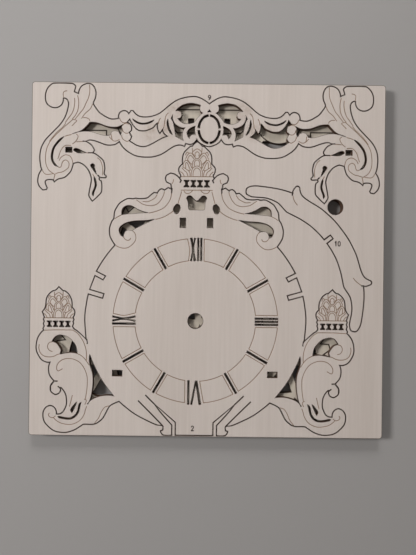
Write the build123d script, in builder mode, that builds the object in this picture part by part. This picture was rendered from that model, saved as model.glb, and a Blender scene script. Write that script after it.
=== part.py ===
from build123d import *
import math
import os

# Wooden gear clock, as it comes: two laser-cut plywood sheets, one on the other, with the clock's
# pieces still standing in their cuts. Millimetres. X runs to the right and Y up the sheet, Z is up,
# and the origin is at the bottom centre of the stack.

# The sheets.
BOARD = 200.0
HALF = BOARD / 2
CORNER = 1.7
SHEET = 2.9
KERF = 0.3
SLIT = 0.36
LOWER = 0.0
UPPER = LOWER + SHEET
# A stretch that stays this near its chord is one line. Three points whose middle one rises by more
# than this share of their chord are an arc.
FLAT = 0.25
ROUND_SHARE = 0.3
# The sharpest corner that is moved out to its full point.
SHARP_SHARE = 0.12

# Places of the pieces' own middles on the board, as shares of half a side.
CREST_MIDDLE_SHARE = 0.003
DIAL_MIDDLE_SHARE = -0.063
HUB_SHARES = (-0.063, -0.345)
ARM_SHARES = (0.670, 0.1135)
ARM_TURN = 38.0
ROUND_HOLE_SHARES = (0.722, 0.308)

# Round features.
HUB_BORE = 8.6
ROUND_HOLE = 8.66
# Where the crest's edge and the pine cone's tip meet, the chip between them has dropped out.
CONE_CHIP_SHARES = (-0.065, 0.672)
CONE_CHIP_SHARE = 0.034
# The hour bars of the chapter ring, from the hub, and their width.
HOUR_IN_SHARE = 0.34
HOUR_OUT_SHARE = 0.47
BAR = 1.0

# Crest: the left half of its edge, from the cusp in the middle of the top round to the bottom.
# A run ends at each corner, and the next one starts there.
CREST_EDGE_SHARES = [
    [(0.003, 0.883), (-0.013, 0.896), (-0.035, 0.909), (-0.061, 0.920), (-0.088, 0.924)],
    [(-0.120, 0.921), (-0.152, 0.913), (-0.179, 0.901), (-0.200, 0.890)],
    [(-0.240, 0.855), (-0.272, 0.831), (-0.299, 0.817), (-0.333, 0.807)],
    [(-0.373, 0.805), (-0.397, 0.811), (-0.413, 0.821), (-0.429, 0.840)],
    [(-0.440, 0.840)],
    [(-0.447, 0.827), (-0.453, 0.822)],
    [(-0.464, 0.835), (-0.480, 0.8395), (-0.499, 0.832), (-0.508, 0.816)],
    [(-0.510, 0.806), (-0.508, 0.797)],
    [(-0.525, 0.792), (-0.547, 0.791), (-0.573, 0.799), (-0.600, 0.814)],
    [(-0.621, 0.829), (-0.640, 0.853), (-0.650, 0.868), (-0.655, 0.883)],
    [(-0.644, 0.912), (-0.641, 0.939), (-0.647, 0.965), (-0.661, 0.984)],
    [(-0.680, 0.991), (-0.696, 0.989), (-0.717, 0.979), (-0.731, 0.960)],
    [(-0.736, 0.947), (-0.737, 0.933)],
    [(-0.764, 0.944)],
    [(-0.761, 0.953), (-0.756, 0.975), (-0.764, 0.985), (-0.776, 0.990)],
    [(-0.880, 0.990)],
    [(-0.901, 0.976), (-0.915, 0.957), (-0.923, 0.931), (-0.923, 0.899)],
    [(-0.915, 0.877), (-0.896, 0.861), (-0.877, 0.855), (-0.856, 0.857)],
    [(-0.837, 0.869), (-0.828, 0.885), (-0.825, 0.908)],
    [(-0.813, 0.909), (-0.801, 0.901), (-0.793, 0.883), (-0.795, 0.856)],
    [(-0.804, 0.821), (-0.819, 0.787), (-0.840, 0.757), (-0.867, 0.728)],
    [(-0.893, 0.701), (-0.917, 0.675), (-0.936, 0.645), (-0.947, 0.616)],
    [(-0.952, 0.573), (-0.950, 0.547), (-0.947, 0.525), (-0.940, 0.503)],
    [(-0.949, 0.488), (-0.957, 0.472), (-0.961, 0.456), (-0.962, 0.440)],
    [(-0.959, 0.421), (-0.952, 0.407), (-0.943, 0.395), (-0.933, 0.388)],
    [(-0.924, 0.387), (-0.915, 0.391), (-0.911, 0.399)],
    [(-0.917, 0.413), (-0.923, 0.429), (-0.921, 0.439), (-0.908, 0.447)],
    [(-0.893, 0.445), (-0.875, 0.446)],
    [(-0.869, 0.435)],
    [(-0.860, 0.441), (-0.848, 0.451), (-0.829, 0.455), (-0.813, 0.461)],
    [(-0.800, 0.471), (-0.787, 0.484), (-0.776, 0.501), (-0.765, 0.540)],
    [(-0.752, 0.545), (-0.737, 0.548), (-0.720, 0.541), (-0.704, 0.533)],
    [(-0.691, 0.520), (-0.677, 0.504), (-0.668, 0.485), (-0.661, 0.464)],
    [(-0.659, 0.443), (-0.662, 0.419), (-0.667, 0.400), (-0.672, 0.368)],
    [(-0.671, 0.355), (-0.663, 0.340), (-0.653, 0.329)],
    [(-0.643, 0.336), (-0.633, 0.349), (-0.621, 0.360), (-0.609, 0.372)],
    [(-0.603, 0.387), (-0.603, 0.403), (-0.603, 0.426), (-0.608, 0.444)],
    [(-0.617, 0.457), (-0.612, 0.462)],
    [(-0.600, 0.460), (-0.584, 0.461), (-0.579, 0.465), (-0.584, 0.474)],
    [(-0.590, 0.484)],
    [(-0.586, 0.496), (-0.586, 0.512), (-0.588, 0.530), (-0.592, 0.548)],
    [(-0.600, 0.562), (-0.612, 0.573), (-0.624, 0.584), (-0.636, 0.591)],
    [(-0.648, 0.595), (-0.658, 0.600)],
    [(-0.649, 0.609), (-0.647, 0.618), (-0.652, 0.628), (-0.660, 0.640)],
    [(-0.672, 0.651), (-0.686, 0.659), (-0.698, 0.665)],
    [(-0.688, 0.671), (-0.672, 0.674), (-0.656, 0.674), (-0.640, 0.669)],
    [(-0.624, 0.663), (-0.608, 0.656), (-0.592, 0.650), (-0.576, 0.647)],
    [(-0.558, 0.646), (-0.540, 0.648), (-0.524, 0.653), (-0.504, 0.668)],
    [(-0.493, 0.651), (-0.475, 0.627), (-0.451, 0.608), (-0.424, 0.593)],
    [(-0.405, 0.588), (-0.381, 0.582), (-0.360, 0.581), (-0.333, 0.581)],
    [(-0.312, 0.583), (-0.296, 0.588), (-0.277, 0.595), (-0.264, 0.599)],
    [(-0.240, 0.616), (-0.200, 0.641), (-0.179, 0.649), (-0.157, 0.651)],
    [(-0.147, 0.649), (-0.136, 0.644)],
    [(-0.130, 0.660)],
    [(-0.120, 0.658), (-0.106, 0.656), (-0.092, 0.658), (-0.082, 0.664)],
    [(-0.073, 0.675), (-0.066, 0.686)],
    [(-0.059, 0.678), (-0.050, 0.665), (-0.036, 0.655), (-0.020, 0.649)],
    [(-0.010, 0.645), (0.003, 0.644)],
]
# Fine cuts that run into the crest from corners of its edge.
CREST_SLIT_SHARES = [
    [(-0.612, 0.462), (-0.624, 0.474)],
    [(-0.655, 0.600), (-0.680, 0.600)],
    [(-0.695, 0.665), (-0.710, 0.666)],
]
# Windows in the crest's left half.
CREST_LONG_WINDOW_SHARES = [
    [(-0.773, 0.707), (-0.744, 0.716), (-0.717, 0.728)],
    [(-0.699, 0.744), (-0.683, 0.763), (-0.673, 0.773)],
    [(-0.645, 0.773), (-0.621, 0.768), (-0.600, 0.760), (-0.573, 0.751)],
    [(-0.541, 0.747), (-0.515, 0.749), (-0.486, 0.763)],
    [(-0.493, 0.748), (-0.490, 0.729)],
    [(-0.499, 0.703)],
    [(-0.508, 0.721), (-0.531, 0.728), (-0.550, 0.720), (-0.558, 0.703)],
    [(-0.573, 0.700), (-0.600, 0.702), (-0.627, 0.712), (-0.667, 0.721)],
    [(-0.694, 0.723), (-0.720, 0.721)],
    [(-0.745, 0.715), (-0.773, 0.707)],
]
CREST_COMMA_SHARES = [
    [(-0.762, 0.620), (-0.754, 0.625), (-0.740, 0.623), (-0.720, 0.614), (-0.704, 0.606)],
    [(-0.692, 0.602)],
    [(-0.720, 0.598), (-0.736, 0.599), (-0.746, 0.606), (-0.758, 0.610)],
    [(-0.763, 0.614), (-0.762, 0.620)],
]
CREST_DROP_SHARES = [
    [(-0.645, 0.520), (-0.656, 0.539), (-0.666, 0.526), (-0.660, 0.514), (-0.648, 0.500)],
    [(-0.630, 0.478)],
    [(-0.639, 0.500), (-0.645, 0.520)],
]
CREST_CRESCENT_SHARES = [
    (-0.816, 0.691), (-0.840, 0.672), (-0.861, 0.648), (-0.877, 0.621), (-0.885, 0.584),
    (-0.884, 0.565), (-0.879, 0.549), (-0.869, 0.533), (-0.853, 0.521),
]
CREST_LEAF_SHARES = [
    (-0.645, 0.465), (-0.640, 0.448), (-0.635, 0.420), (-0.641, 0.397), (-0.649, 0.376),
    (-0.650, 0.366), (-0.649, 0.356),
]
CREST_LEAF_2_SHARES = [
    (-0.231, 0.797), (-0.232, 0.771), (-0.227, 0.747), (-0.216, 0.723), (-0.205, 0.709),
]
CREST_SWAG_SLIT_SHARES = [
    (-0.432, 0.796), (-0.413, 0.780), (-0.392, 0.771), (-0.371, 0.768), (-0.344, 0.772),
    (-0.325, 0.780), (-0.309, 0.791),
]
SWAG_SHARES = [
    [(-0.446, 0.798), (-0.442, 0.784)],
    [(-0.433, 0.767), (-0.417, 0.748), (-0.398, 0.733), (-0.379, 0.729)],
    [(-0.358, 0.730), (-0.337, 0.737), (-0.315, 0.748), (-0.299, 0.767)],
    [(-0.289, 0.775)],
    [(-0.289, 0.752), (-0.284, 0.731), (-0.275, 0.717)],
    [(-0.264, 0.736), (-0.256, 0.747)],
    [(-0.260, 0.733), (-0.248, 0.712), (-0.238, 0.704), (-0.229, 0.699)],
    [(-0.235, 0.696), (-0.264, 0.685), (-0.291, 0.669), (-0.317, 0.655)],
    [(-0.347, 0.641), (-0.373, 0.637), (-0.403, 0.643), (-0.429, 0.657)],
    [(-0.451, 0.672)],
    [(-0.442, 0.681), (-0.437, 0.695), (-0.443, 0.711), (-0.450, 0.719)],
    [(-0.439, 0.729), (-0.437, 0.745), (-0.443, 0.761), (-0.457, 0.772)],
    [(-0.465, 0.772)],
    [(-0.446, 0.798)],
]
CREST_SIDE_WINDOW_SHARES = [
    [(-0.203, 0.825), (-0.206, 0.809), (-0.201, 0.788), (-0.190, 0.769), (-0.177, 0.759)],
    [(-0.153, 0.748), (-0.133, 0.749)],
    [(-0.143, 0.733), (-0.149, 0.717), (-0.148, 0.699), (-0.143, 0.675)],
    [(-0.173, 0.691), (-0.187, 0.699)],
    [(-0.189, 0.720), (-0.200, 0.773), (-0.213, 0.800), (-0.203, 0.825)],
]
CREST_UPPER_WINDOW_SHARES = [
    [(-0.188, 0.843), (-0.173, 0.859), (-0.152, 0.875), (-0.125, 0.884), (-0.093, 0.887)],
    [(-0.067, 0.883), (-0.047, 0.876)],
    [(-0.052, 0.861), (-0.049, 0.845), (-0.035, 0.833)],
    [(-0.058, 0.812), (-0.083, 0.779)],
    [(-0.120, 0.771), (-0.147, 0.776), (-0.165, 0.788), (-0.175, 0.799)],
    [(-0.160, 0.803), (-0.152, 0.819), (-0.156, 0.835), (-0.168, 0.843)],
    [(-0.188, 0.843)],
]
CREST_SMALL_WINDOW_SHARES = [
    [(-0.077, 0.757), (-0.093, 0.752), (-0.112, 0.739), (-0.123, 0.720), (-0.117, 0.701)],
    [(-0.113, 0.694), (-0.107, 0.688)],
    [(-0.104, 0.701), (-0.093, 0.711), (-0.075, 0.709)],
    [(-0.079, 0.733), (-0.077, 0.757)],
]
CREST_TRIANGLE_SHARES = [
    [(0.003, 0.851)],
    [(-0.007, 0.839)],
    [(0.003, 0.839)],
    [(0.003, 0.851)],
]
OVAL_SHARES = (0.003, 0.741)
OVAL_HALF_SHARES = (0.059, 0.078)
OVAL_SLOT = 1.1
# Degrees from an axis to a slot's end, and how many corners its sides have.
OVAL_TAB = 5.0
OVAL_STEPS = 5
OVAL_STEP = (90 - 2 * OVAL_TAB) / (OVAL_STEPS - 1)
CREST_MORTISE_SHARES = (-0.790, 0.6165)
CREST_MORTISE = (3.6, 2.9)

# Dial plate: the left half of its edge, from the pine cone's tip down to the foot.
DIAL_TOP_SHARES = [
    [(-0.063, 0.668), (-0.065, 0.667), (-0.078, 0.658), (-0.086, 0.646), (-0.091, 0.642)],
    [(-0.100, 0.643), (-0.108, 0.638), (-0.118, 0.626)],
    [(-0.128, 0.618), (-0.136, 0.606), (-0.140, 0.596), (-0.144, 0.580)],
    [(-0.145, 0.560), (-0.144, 0.542)],
    [(-0.154, 0.533), (-0.162, 0.524), (-0.165, 0.510), (-0.161, 0.492)],
    [(-0.155, 0.482), (-0.155, 0.470), (-0.162, 0.461)],
    [(-0.171, 0.467), (-0.184, 0.480), (-0.200, 0.486), (-0.212, 0.489)],
    [(-0.233, 0.478), (-0.239, 0.460), (-0.232, 0.440), (-0.209, 0.429)],
    [(-0.206, 0.413), (-0.204, 0.397)],
    [(-0.213, 0.404), (-0.225, 0.407), (-0.237, 0.401), (-0.247, 0.391)],
    [(-0.253, 0.397), (-0.264, 0.399), (-0.276, 0.391), (-0.285, 0.375)],
    [(-0.293, 0.379), (-0.304, 0.379), (-0.315, 0.372), (-0.328, 0.359)],
    [(-0.336, 0.351), (-0.343, 0.347)],
    [(-0.365, 0.345), (-0.387, 0.342), (-0.408, 0.345), (-0.424, 0.341)],
    [(-0.443, 0.343), (-0.459, 0.340), (-0.475, 0.332), (-0.491, 0.321)],
    [(-0.501, 0.312), (-0.509, 0.299), (-0.519, 0.283), (-0.526, 0.264)],
    [(-0.529, 0.245), (-0.530, 0.228)],
    [(-0.539, 0.216), (-0.544, 0.200), (-0.552, 0.179), (-0.553, 0.152)],
    [(-0.548, 0.125), (-0.537, 0.104), (-0.529, 0.091), (-0.520, 0.080)],
    [(-0.576, 0.010), (-0.624, -0.069)],
    [(-0.572, -0.095)],
    [(-0.587, -0.120)],
    [(-0.633, -0.096)],
    [(-0.648, -0.133), (-0.661, -0.172)],
    [(-0.580, -0.195)],
    [(-0.588, -0.224)],
    [(-0.669, -0.201)],
    [(-0.687, -0.320), (-0.680, -0.440)],
]
DIAL_SIDE_SHARES = [
    [(-0.676, -0.461)],
    [(-0.693, -0.445), (-0.704, -0.432), (-0.720, -0.419), (-0.733, -0.408)],
    [(-0.748, -0.399)],
    [(-0.753, -0.392), (-0.759, -0.383)],
    [(-0.753, -0.365)],
    [(-0.757, -0.356)],
    [(-0.751, -0.345)],
    [(-0.756, -0.331)],
    [(-0.748, -0.315), (-0.747, -0.299), (-0.752, -0.287), (-0.763, -0.276)],
    [(-0.765, -0.253), (-0.765, -0.237), (-0.769, -0.224), (-0.776, -0.211)],
    [(-0.784, -0.199), (-0.795, -0.189), (-0.805, -0.183)],
    [(-0.812, -0.185)],
    [(-0.819, -0.179), (-0.829, -0.167), (-0.8375, -0.161)],
    [(-0.847, -0.170), (-0.856, -0.181)],
    [(-0.869, -0.184)],
    [(-0.880, -0.191), (-0.889, -0.200), (-0.896, -0.208), (-0.904, -0.224)],
    [(-0.907, -0.240), (-0.909, -0.253), (-0.911, -0.275)],
    [(-0.920, -0.287), (-0.928, -0.301), (-0.925, -0.315), (-0.916, -0.332)],
    [(-0.921, -0.344)],
    [(-0.916, -0.356)],
    [(-0.921, -0.369)],
    [(-0.916, -0.383)],
    [(-0.923, -0.397), (-0.919, -0.407)],
    [(-0.928, -0.416), (-0.939, -0.427), (-0.948, -0.443), (-0.955, -0.459)],
    [(-0.960, -0.477), (-0.961, -0.499), (-0.959, -0.520), (-0.952, -0.539)],
    [(-0.943, -0.557), (-0.931, -0.571), (-0.917, -0.580), (-0.904, -0.585)],
    [(-0.892, -0.587), (-0.880, -0.585)],
    [(-0.884, -0.600), (-0.889, -0.619), (-0.888, -0.640), (-0.883, -0.659)],
    [(-0.872, -0.676), (-0.855, -0.693)],
    [(-0.868, -0.707), (-0.877, -0.721), (-0.879, -0.733), (-0.876, -0.749)],
    [(-0.865, -0.761), (-0.851, -0.768), (-0.836, -0.764), (-0.825, -0.753)],
    [(-0.823, -0.741), (-0.827, -0.731)],
    [(-0.819, -0.728), (-0.808, -0.739), (-0.796, -0.757), (-0.788, -0.779)],
    [(-0.785, -0.800), (-0.786, -0.824), (-0.791, -0.843), (-0.800, -0.860)],
    [(-0.813, -0.875), (-0.827, -0.881), (-0.845, -0.881)],
    [(-0.845, -0.867), (-0.851, -0.851), (-0.863, -0.839), (-0.879, -0.834)],
    [(-0.895, -0.839), (-0.908, -0.851), (-0.916, -0.867), (-0.918, -0.888)],
    [(-0.915, -0.909), (-0.907, -0.928), (-0.893, -0.945), (-0.877, -0.959)],
    [(-0.859, -0.971), (-0.837, -0.979), (-0.813, -0.983), (-0.789, -0.982)],
    [(-0.765, -0.977), (-0.741, -0.967), (-0.720, -0.955), (-0.704, -0.944)],
    [(-0.689, -0.935)],
    [(-0.664, -0.937), (-0.640, -0.935), (-0.621, -0.931), (-0.605, -0.921)],
    [(-0.581, -0.899), (-0.569, -0.877), (-0.560, -0.856), (-0.547, -0.836)],
    [(-0.533, -0.823), (-0.517, -0.815), (-0.501, -0.811), (-0.489, -0.803)],
    [(-0.472, -0.819), (-0.451, -0.835), (-0.427, -0.852), (-0.397, -0.875)],
    [(-0.365, -0.891), (-0.333, -0.908), (-0.307, -0.921), (-0.280, -0.932)],
    [(-0.261, -0.937), (-0.244, -0.937)],
    [(-0.237, -0.944), (-0.239, -0.965)],
    [(-0.251, -0.969)],
    [(-0.250, -0.976), (-0.247, -0.981), (-0.242, -0.987), (-0.235, -0.991)],
    [(-0.191, -0.991)],
    [(-0.191, -0.936)],
    [(-0.253, -0.867), (-0.295, -0.812)],
    [(-0.168, -0.919)],
    [(-0.168, -0.991)],
    [(-0.063, -0.991)],
]
# Fine cuts that run into the dial plate from corners of its edge.
DIAL_SLIT_SHARES = [
    [(-0.160, 0.460), (-0.152, 0.450), (-0.158, 0.438)],
    [(-0.204, 0.400), (-0.205, 0.379)],
    [(-0.676, -0.459), (-0.673, -0.480)],
    [(-0.858, -0.693), (-0.840, -0.694)],
    [(-0.826, -0.732), (-0.836, -0.724)],
    [(-0.244, -0.937), (-0.300, -0.880), (-0.381, -0.800)],
    [(-0.294, -0.813), (-0.318, -0.790), (-0.340, -0.768)],
]
DIAL_HALF_MOON_SHARES = [
    [(-0.486, 0.252), (-0.487, 0.268), (-0.484, 0.282)],
    [(-0.474, 0.295), (-0.460, 0.303), (-0.442, 0.305), (-0.426, 0.301)],
    [(-0.412, 0.293), (-0.398, 0.284), (-0.378, 0.275), (-0.358, 0.269)],
    [(-0.338, 0.266)],
    [(-0.358, 0.262), (-0.400, 0.260), (-0.430, 0.259), (-0.454, 0.257)],
    [(-0.486, 0.252)],
]
DIAL_LEAF_SHARES = [
    [(-0.300, 0.229), (-0.320, 0.224), (-0.350, 0.221), (-0.380, 0.220), (-0.410, 0.218)],
    [(-0.438, 0.213), (-0.460, 0.207), (-0.478, 0.198), (-0.492, 0.186)],
    [(-0.500, 0.170), (-0.498, 0.152), (-0.490, 0.136), (-0.476, 0.128)],
    [(-0.473, 0.144), (-0.468, 0.156), (-0.458, 0.163), (-0.444, 0.166)],
    [(-0.426, 0.162)],
    [(-0.410, 0.174), (-0.394, 0.182), (-0.374, 0.192), (-0.358, 0.200)],
    [(-0.338, 0.211), (-0.318, 0.220), (-0.300, 0.229)],
]
DIAL_EYE_SHARES = [
    [(-0.175, 0.316), (-0.160, 0.311), (-0.156, 0.299), (-0.157, 0.283), (-0.165, 0.269)],
    [(-0.179, 0.261), (-0.189, 0.269), (-0.195, 0.285), (-0.189, 0.301)],
    [(-0.183, 0.311), (-0.175, 0.316)],
]
DIAL_HEART_SHARES = [
    [(-0.063, 0.335), (-0.073, 0.339), (-0.084, 0.349), (-0.093, 0.361), (-0.105, 0.364)],
    [(-0.115, 0.359), (-0.120, 0.348), (-0.119, 0.339), (-0.111, 0.325)],
    [(-0.109, 0.309), (-0.108, 0.291)],
    [(-0.101, 0.284)],
    [(-0.063, 0.284)],
    [(-0.063, 0.335)],
]
DIAL_LOWER_WINDOW_SHARES = [
    [(-0.873, -0.469), (-0.867, -0.456), (-0.855, -0.443), (-0.840, -0.435), (-0.824, -0.432)],
    [(-0.803, -0.436), (-0.781, -0.445), (-0.763, -0.461), (-0.748, -0.477)],
    [(-0.737, -0.496), (-0.731, -0.517), (-0.729, -0.536)],
    [(-0.747, -0.532), (-0.768, -0.531), (-0.789, -0.533), (-0.808, -0.537)],
    [(-0.827, -0.541)],
    [(-0.823, -0.528), (-0.821, -0.517), (-0.828, -0.504), (-0.839, -0.488)],
    [(-0.851, -0.477), (-0.864, -0.471), (-0.873, -0.469)],
]
DIAL_DROP_SHARES = [
    [(-0.743, -0.848), (-0.756, -0.8715), (-0.763, -0.859), (-0.759, -0.845)],
    [(-0.744, -0.824), (-0.728, -0.809)],
    [(-0.735, -0.829), (-0.743, -0.848)],
]
DIAL_LONG_SLIT_SHARES = [
    (-0.703, -0.811), (-0.713, -0.827), (-0.717, -0.848), (-0.723, -0.869), (-0.736, -0.888),
    (-0.755, -0.901), (-0.776, -0.905), (-0.800, -0.903), (-0.819, -0.899), (-0.827, -0.897),
    (-0.835, -0.895),
]
DIAL_TRIANGLE_SHARES = [
    [(-0.658, -0.539), (-0.661, -0.570), (-0.657, -0.600), (-0.648, -0.627), (-0.641, -0.653)],
    [(-0.639, -0.680), (-0.639, -0.707), (-0.641, -0.733), (-0.645, -0.760)],
    [(-0.651, -0.787), (-0.656, -0.804)],
    [(-0.640, -0.796), (-0.621, -0.784), (-0.600, -0.777), (-0.573, -0.772)],
    [(-0.547, -0.771), (-0.523, -0.773)],
    [(-0.515, -0.779)],
    [(-0.528, -0.760), (-0.547, -0.736), (-0.565, -0.715), (-0.584, -0.691)],
    [(-0.600, -0.662), (-0.611, -0.637), (-0.627, -0.611), (-0.635, -0.597)],
    [(-0.645, -0.573), (-0.658, -0.539)],
]
DIAL_TRIANGLE_SLIT_SHARES = [(-0.655, -0.803), (-0.667, -0.821)]
UPPER_MORTISE_SHARES = (-0.140, 0.210)
UPPER_MORTISE = (3.2, 5.4)
LOWER_MORTISE_SHARES = (-0.502, -0.645)
LOWER_MORTISE = (5.5, 3.3)
# Rows of waisted slots in the collars under the pine cones.
TOP_COLLAR_SHARES = [(-0.1216, 0.432), (-0.083, 0.432), (-0.045, 0.432), (-0.006, 0.432)]
TOP_COLLAR_SLOT = (2.9, 3.8, 1.25)
SIDE_COLLAR_SHARES = [(-0.8885, -0.3696), (-0.854, -0.3696), (-0.819, -0.3696), (-0.784, -0.3696)]
SIDE_COLLAR_SLOT = (2.6, 3.25, 1.0)
# Strokes of the numerals that aren't a single bar: two ends as shares, then the width.
NUMERAL_SHARES = [
    ((-0.091, 0.124), (-0.0695, -0.004), 1.2),
    ((-0.0695, 0.124), (-0.0915, -0.004), 0.8),
    ((-0.051, 0.124), (-0.051, -0.004), 0.8),
    ((-0.034, 0.124), (-0.034, -0.004), 0.8),
    ((0.275, -0.328), (0.404, -0.328), 0.9),
    ((0.275, -0.345), (0.404, -0.345), 0.9),
    ((0.275, -0.362), (0.404, -0.362), 0.9),
    ((-0.098, -0.683), (-0.098, -0.817), 0.9),
    ((-0.0555, -0.685), (-0.081, -0.817), 0.8),
    ((-0.0545, -0.685), (-0.032, -0.817), 1.1),
    ((-0.531, -0.324), (-0.404, -0.348), 0.9),
    ((-0.531, -0.348), (-0.404, -0.323), 0.9),
    ((-0.532, -0.364), (-0.402, -0.364), 0.9),
]

# Side arm, along its own axis from the notch, one half of it.
ARM_EDGE_SHARES = [
    [(0.000, 0.000), (0.000, 0.012)],
    [(0.000, 0.035), (-0.003, 0.060), (-0.008, 0.096), (-0.014, 0.122)],
    [(-0.025, 0.158), (-0.036, 0.187), (-0.050, 0.218), (-0.064, 0.247)],
    [(-0.074, 0.270), (-0.077, 0.288), (-0.076, 0.308), (-0.080, 0.332)],
    [(-0.087, 0.352), (-0.095, 0.367), (-0.107, 0.388), (-0.121, 0.404)],
    [(-0.138, 0.422), (-0.156, 0.438), (-0.175, 0.453), (-0.185, 0.468)],
    [(-0.192, 0.484), (-0.187, 0.496), (-0.175, 0.507), (-0.163, 0.508)],
    [(-0.151, 0.505), (-0.138, 0.498), (-0.125, 0.487), (-0.108, 0.474)],
    [(-0.086, 0.453), (-0.065, 0.432), (-0.050, 0.416), (-0.030, 0.393)],
    [(-0.014, 0.372), (0.002, 0.349), (0.016, 0.329)],
    [(0.030, 0.340), (0.053, 0.347), (0.065, 0.338), (0.061, 0.325)],
    [(0.054, 0.312), (0.050, 0.295), (0.051, 0.276), (0.056, 0.255)],
    [(0.067, 0.228), (0.076, 0.205), (0.087, 0.173), (0.096, 0.138)],
    [(0.103, 0.105), (0.108, 0.071), (0.1105, 0.036), (0.111, 0.000)],
]
ARM_NOTCH = (4.4, 2.8)
ARM_SLIT_SHARES = [(0.016, 0.329), (0.008, 0.323)]
# Widths of the long fine cuts.
CRESCENT_SLOT = 0.94
LEAF_SLOT = 0.85
SWAG_SLOT = 0.7

# The second sheet: the movement's pieces. Their sizes and middles fill the sheet, so they are
# shares of half a side. Only what takes the sheets' own thickness or an axle is a length.
AXLE = 3.2
PLAY = 0.1
MODULE_SHARE = 0.0225
TOOTH_DEPTH_SHARE = 2.0 * MODULE_SHARE
# The flat tip of a tooth, as a share of the pitch.
TIP_SHARE = 0.38
RIM_SHARE = 0.036
WHEEL_HUB_SHARE = 0.06
SPOKE_SHARE = 0.04
# Each wheel's teeth, its spokes, how far these are turned and where its middle is.
WHEELS = {
    "great_wheel": (26, 8, 15.0, (-0.550, -0.560)),
    "minute_wheel": (22, 6, -10.0, (0.445, -0.565)),
    "third_wheel": (16, 5, -79.0, (-0.070, -0.215)),
    "hour_wheel": (14, 4, 20.0, (-0.780, -0.030)),
}
PINION_TEETH = 6
PINIONS = {
    "pinion_a": (-0.580, 0.480),
    "pinion_b": (-0.370, 0.480),
    "pinion_c": (-0.160, 0.480),
}
# Saw-toothed wheels: radius and tooth depth.
ESCAPE_TEETH = 15
ESCAPE_SIZE_SHARES = (0.200, 0.034)
ESCAPE_SHARES = (-0.370, 0.125)
ESCAPE_SPOKES = 5
RATCHET_TEETH = 12
RATCHET_SIZE_SHARES = (0.130, 0.026)
RATCHET_SHARES = (-0.800, 0.345)
# Flanges of the line's drum, and the opening beside the right one.
FLANGE_SIZE_SHARE = 0.128
FLANGE_SIDES = 16
FLANGES = {
    "drum_flange_left": (-0.400, 0.800),
    "drum_flange_right": (0.400, 0.800),
}
FLANGE_WINDOW_SHARES = (0.375, 0.625)
FLANGE_WINDOW_SIZE_SHARES = (0.20, 0.12, 0.04)
SPACER_SIZE_SHARE = 0.075
SPACER_SIDES = 6
SPACERS = {
    "spacer_left_out": (-0.860, 0.880),
    "spacer_left_in": (-0.660, 0.880),
    "spacer_right_in": (0.660, 0.880),
    "spacer_right_out": (0.860, 0.880),
}
# Bars: length, width and the cut of each corner.
BRIDGE_SHARES = (0.003, 0.794)
BRIDGE_SIZE_SHARES = (0.44, 0.13, 0.04)
BRIDGE_HOLES_SHARE = 0.207
ROD_SHARES = (0.000, -0.935)
ROD_SIZE_SHARES = (1.72, 0.06, 0.02)
ROD_HOLES_SHARE = 1.64
# Struts: length and width of the body. Their tabs fit the dial's lower mortises.
STRUTS = {
    "strut_left": (-0.765, 0.680),
    "strut_right": (0.765, 0.680),
}
STRUT_SIZE_SHARES = (0.36, 0.11)
BOB_SIZE_SHARE = 0.15
BOB_SIDES = 16
BOB_SHARES = (0.790, -0.100)
# Each hand's length and where its hub is.
HANDS = {
    "minute_hand": (0.56, (0.160, 0.510)),
    "hour_hand": (0.42, (0.300, 0.400)),
}
PALLETS_SIZE_SHARE = 0.44
PALLETS_SHARES = (0.400, 0.100)
CLICK_SIZE_SHARE = 0.20
CLICK_SHARES = (0.800, 0.500)
# Half of a hand, from its tip back to the hub, as shares of its length.
HAND_EDGE_SHARES = [
    (0.840, 0.022), (0.700, 0.066), (0.560, 0.098), (0.440, 0.060), (0.300, 0.026),
    (0.100, 0.030), (0.050, 0.078), (-0.045, 0.078), (-0.085, 0.030),
]
# The pallets' left half, from the pivot out to the nib and back, as shares of their span.
PALLETS_EDGE_SHARES = [
    (-0.140, 0.100), (-0.330, 0.030), (-0.500, -0.110), (-0.440, -0.290), (-0.375, -0.160),
    (-0.240, -0.070), (-0.110, -0.110),
]
# The click, as shares of its length from the pivot.
CLICK_EDGE_SHARES = [
    (-0.090, 0.220), (-0.220, 0.090), (-0.220, -0.090), (-0.090, -0.220), (0.220, -0.130),
    (0.560, -0.100), (0.780, -0.180), (0.620, 0.060), (0.300, 0.190),
]


def stretch(points, moved):
    """Lines and arcs through the moved points, as few as keep each of them near its place."""
    start = Vector(*points[0])
    chord = Vector(*points[-1]) - start
    rises = [abs(chord.cross(Vector(*point) - start).Z) / chord.length for point in points]
    top = rises.index(max(rises))
    if rises[top] < FLAT:
        Line(moved[0], moved[-1])
    elif len(points) == 3 and rises[top] > ROUND_SHARE * chord.length:
        ThreePointArc(*moved)
    else:
        stretch(points[: top + 1], moved[: top + 1])
        stretch(points[top:], moved[top:])


def outward(before, point, after, grow):
    """A corner moved to the right of its way, to where its two moved sides meet."""
    first = (Vector(*point) - Vector(*before)).normalized()
    second = (Vector(*after) - Vector(*point)).normalized()
    reach = grow / max(1 + first.dot(second), SHARP_SHARE)
    x = point[0] + (first.Y + second.Y) * reach
    y = point[1] - (first.X + second.X) * reach
    return (x, y)


def grown(points, before, after, grow):
    """The corners of a chain moved outwards, between the points before and after it."""
    line = [before, *points, after]
    return [outward(*line[place : place + 3], grow) for place in range(len(points))]


def placed(shares, middle):
    """Shares of half a side, measured from a piece's own middle line, as lengths."""
    return [((x - middle) * HALF, y * HALF) for x, y in shares]


def walk(runs, middle, grow=0.0, flip=(-1, 1)):
    """A chain of runs from corner to corner, moved outwards by grow. Flip mirrors its ends."""
    points = placed([share for run in runs for share in run], middle)
    before = (points[1][0] * flip[0], points[1][1] * flip[1])
    after = (points[-2][0] * flip[0], points[-2][1] * flip[1])
    moved = grown(points, before, after, grow)
    last = -1
    for run in runs:
        start = max(last, 0)
        last += len(run)
        if last > start:
            stretch(points[start : last + 1], moved[start : last + 1])
    return moved


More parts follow.
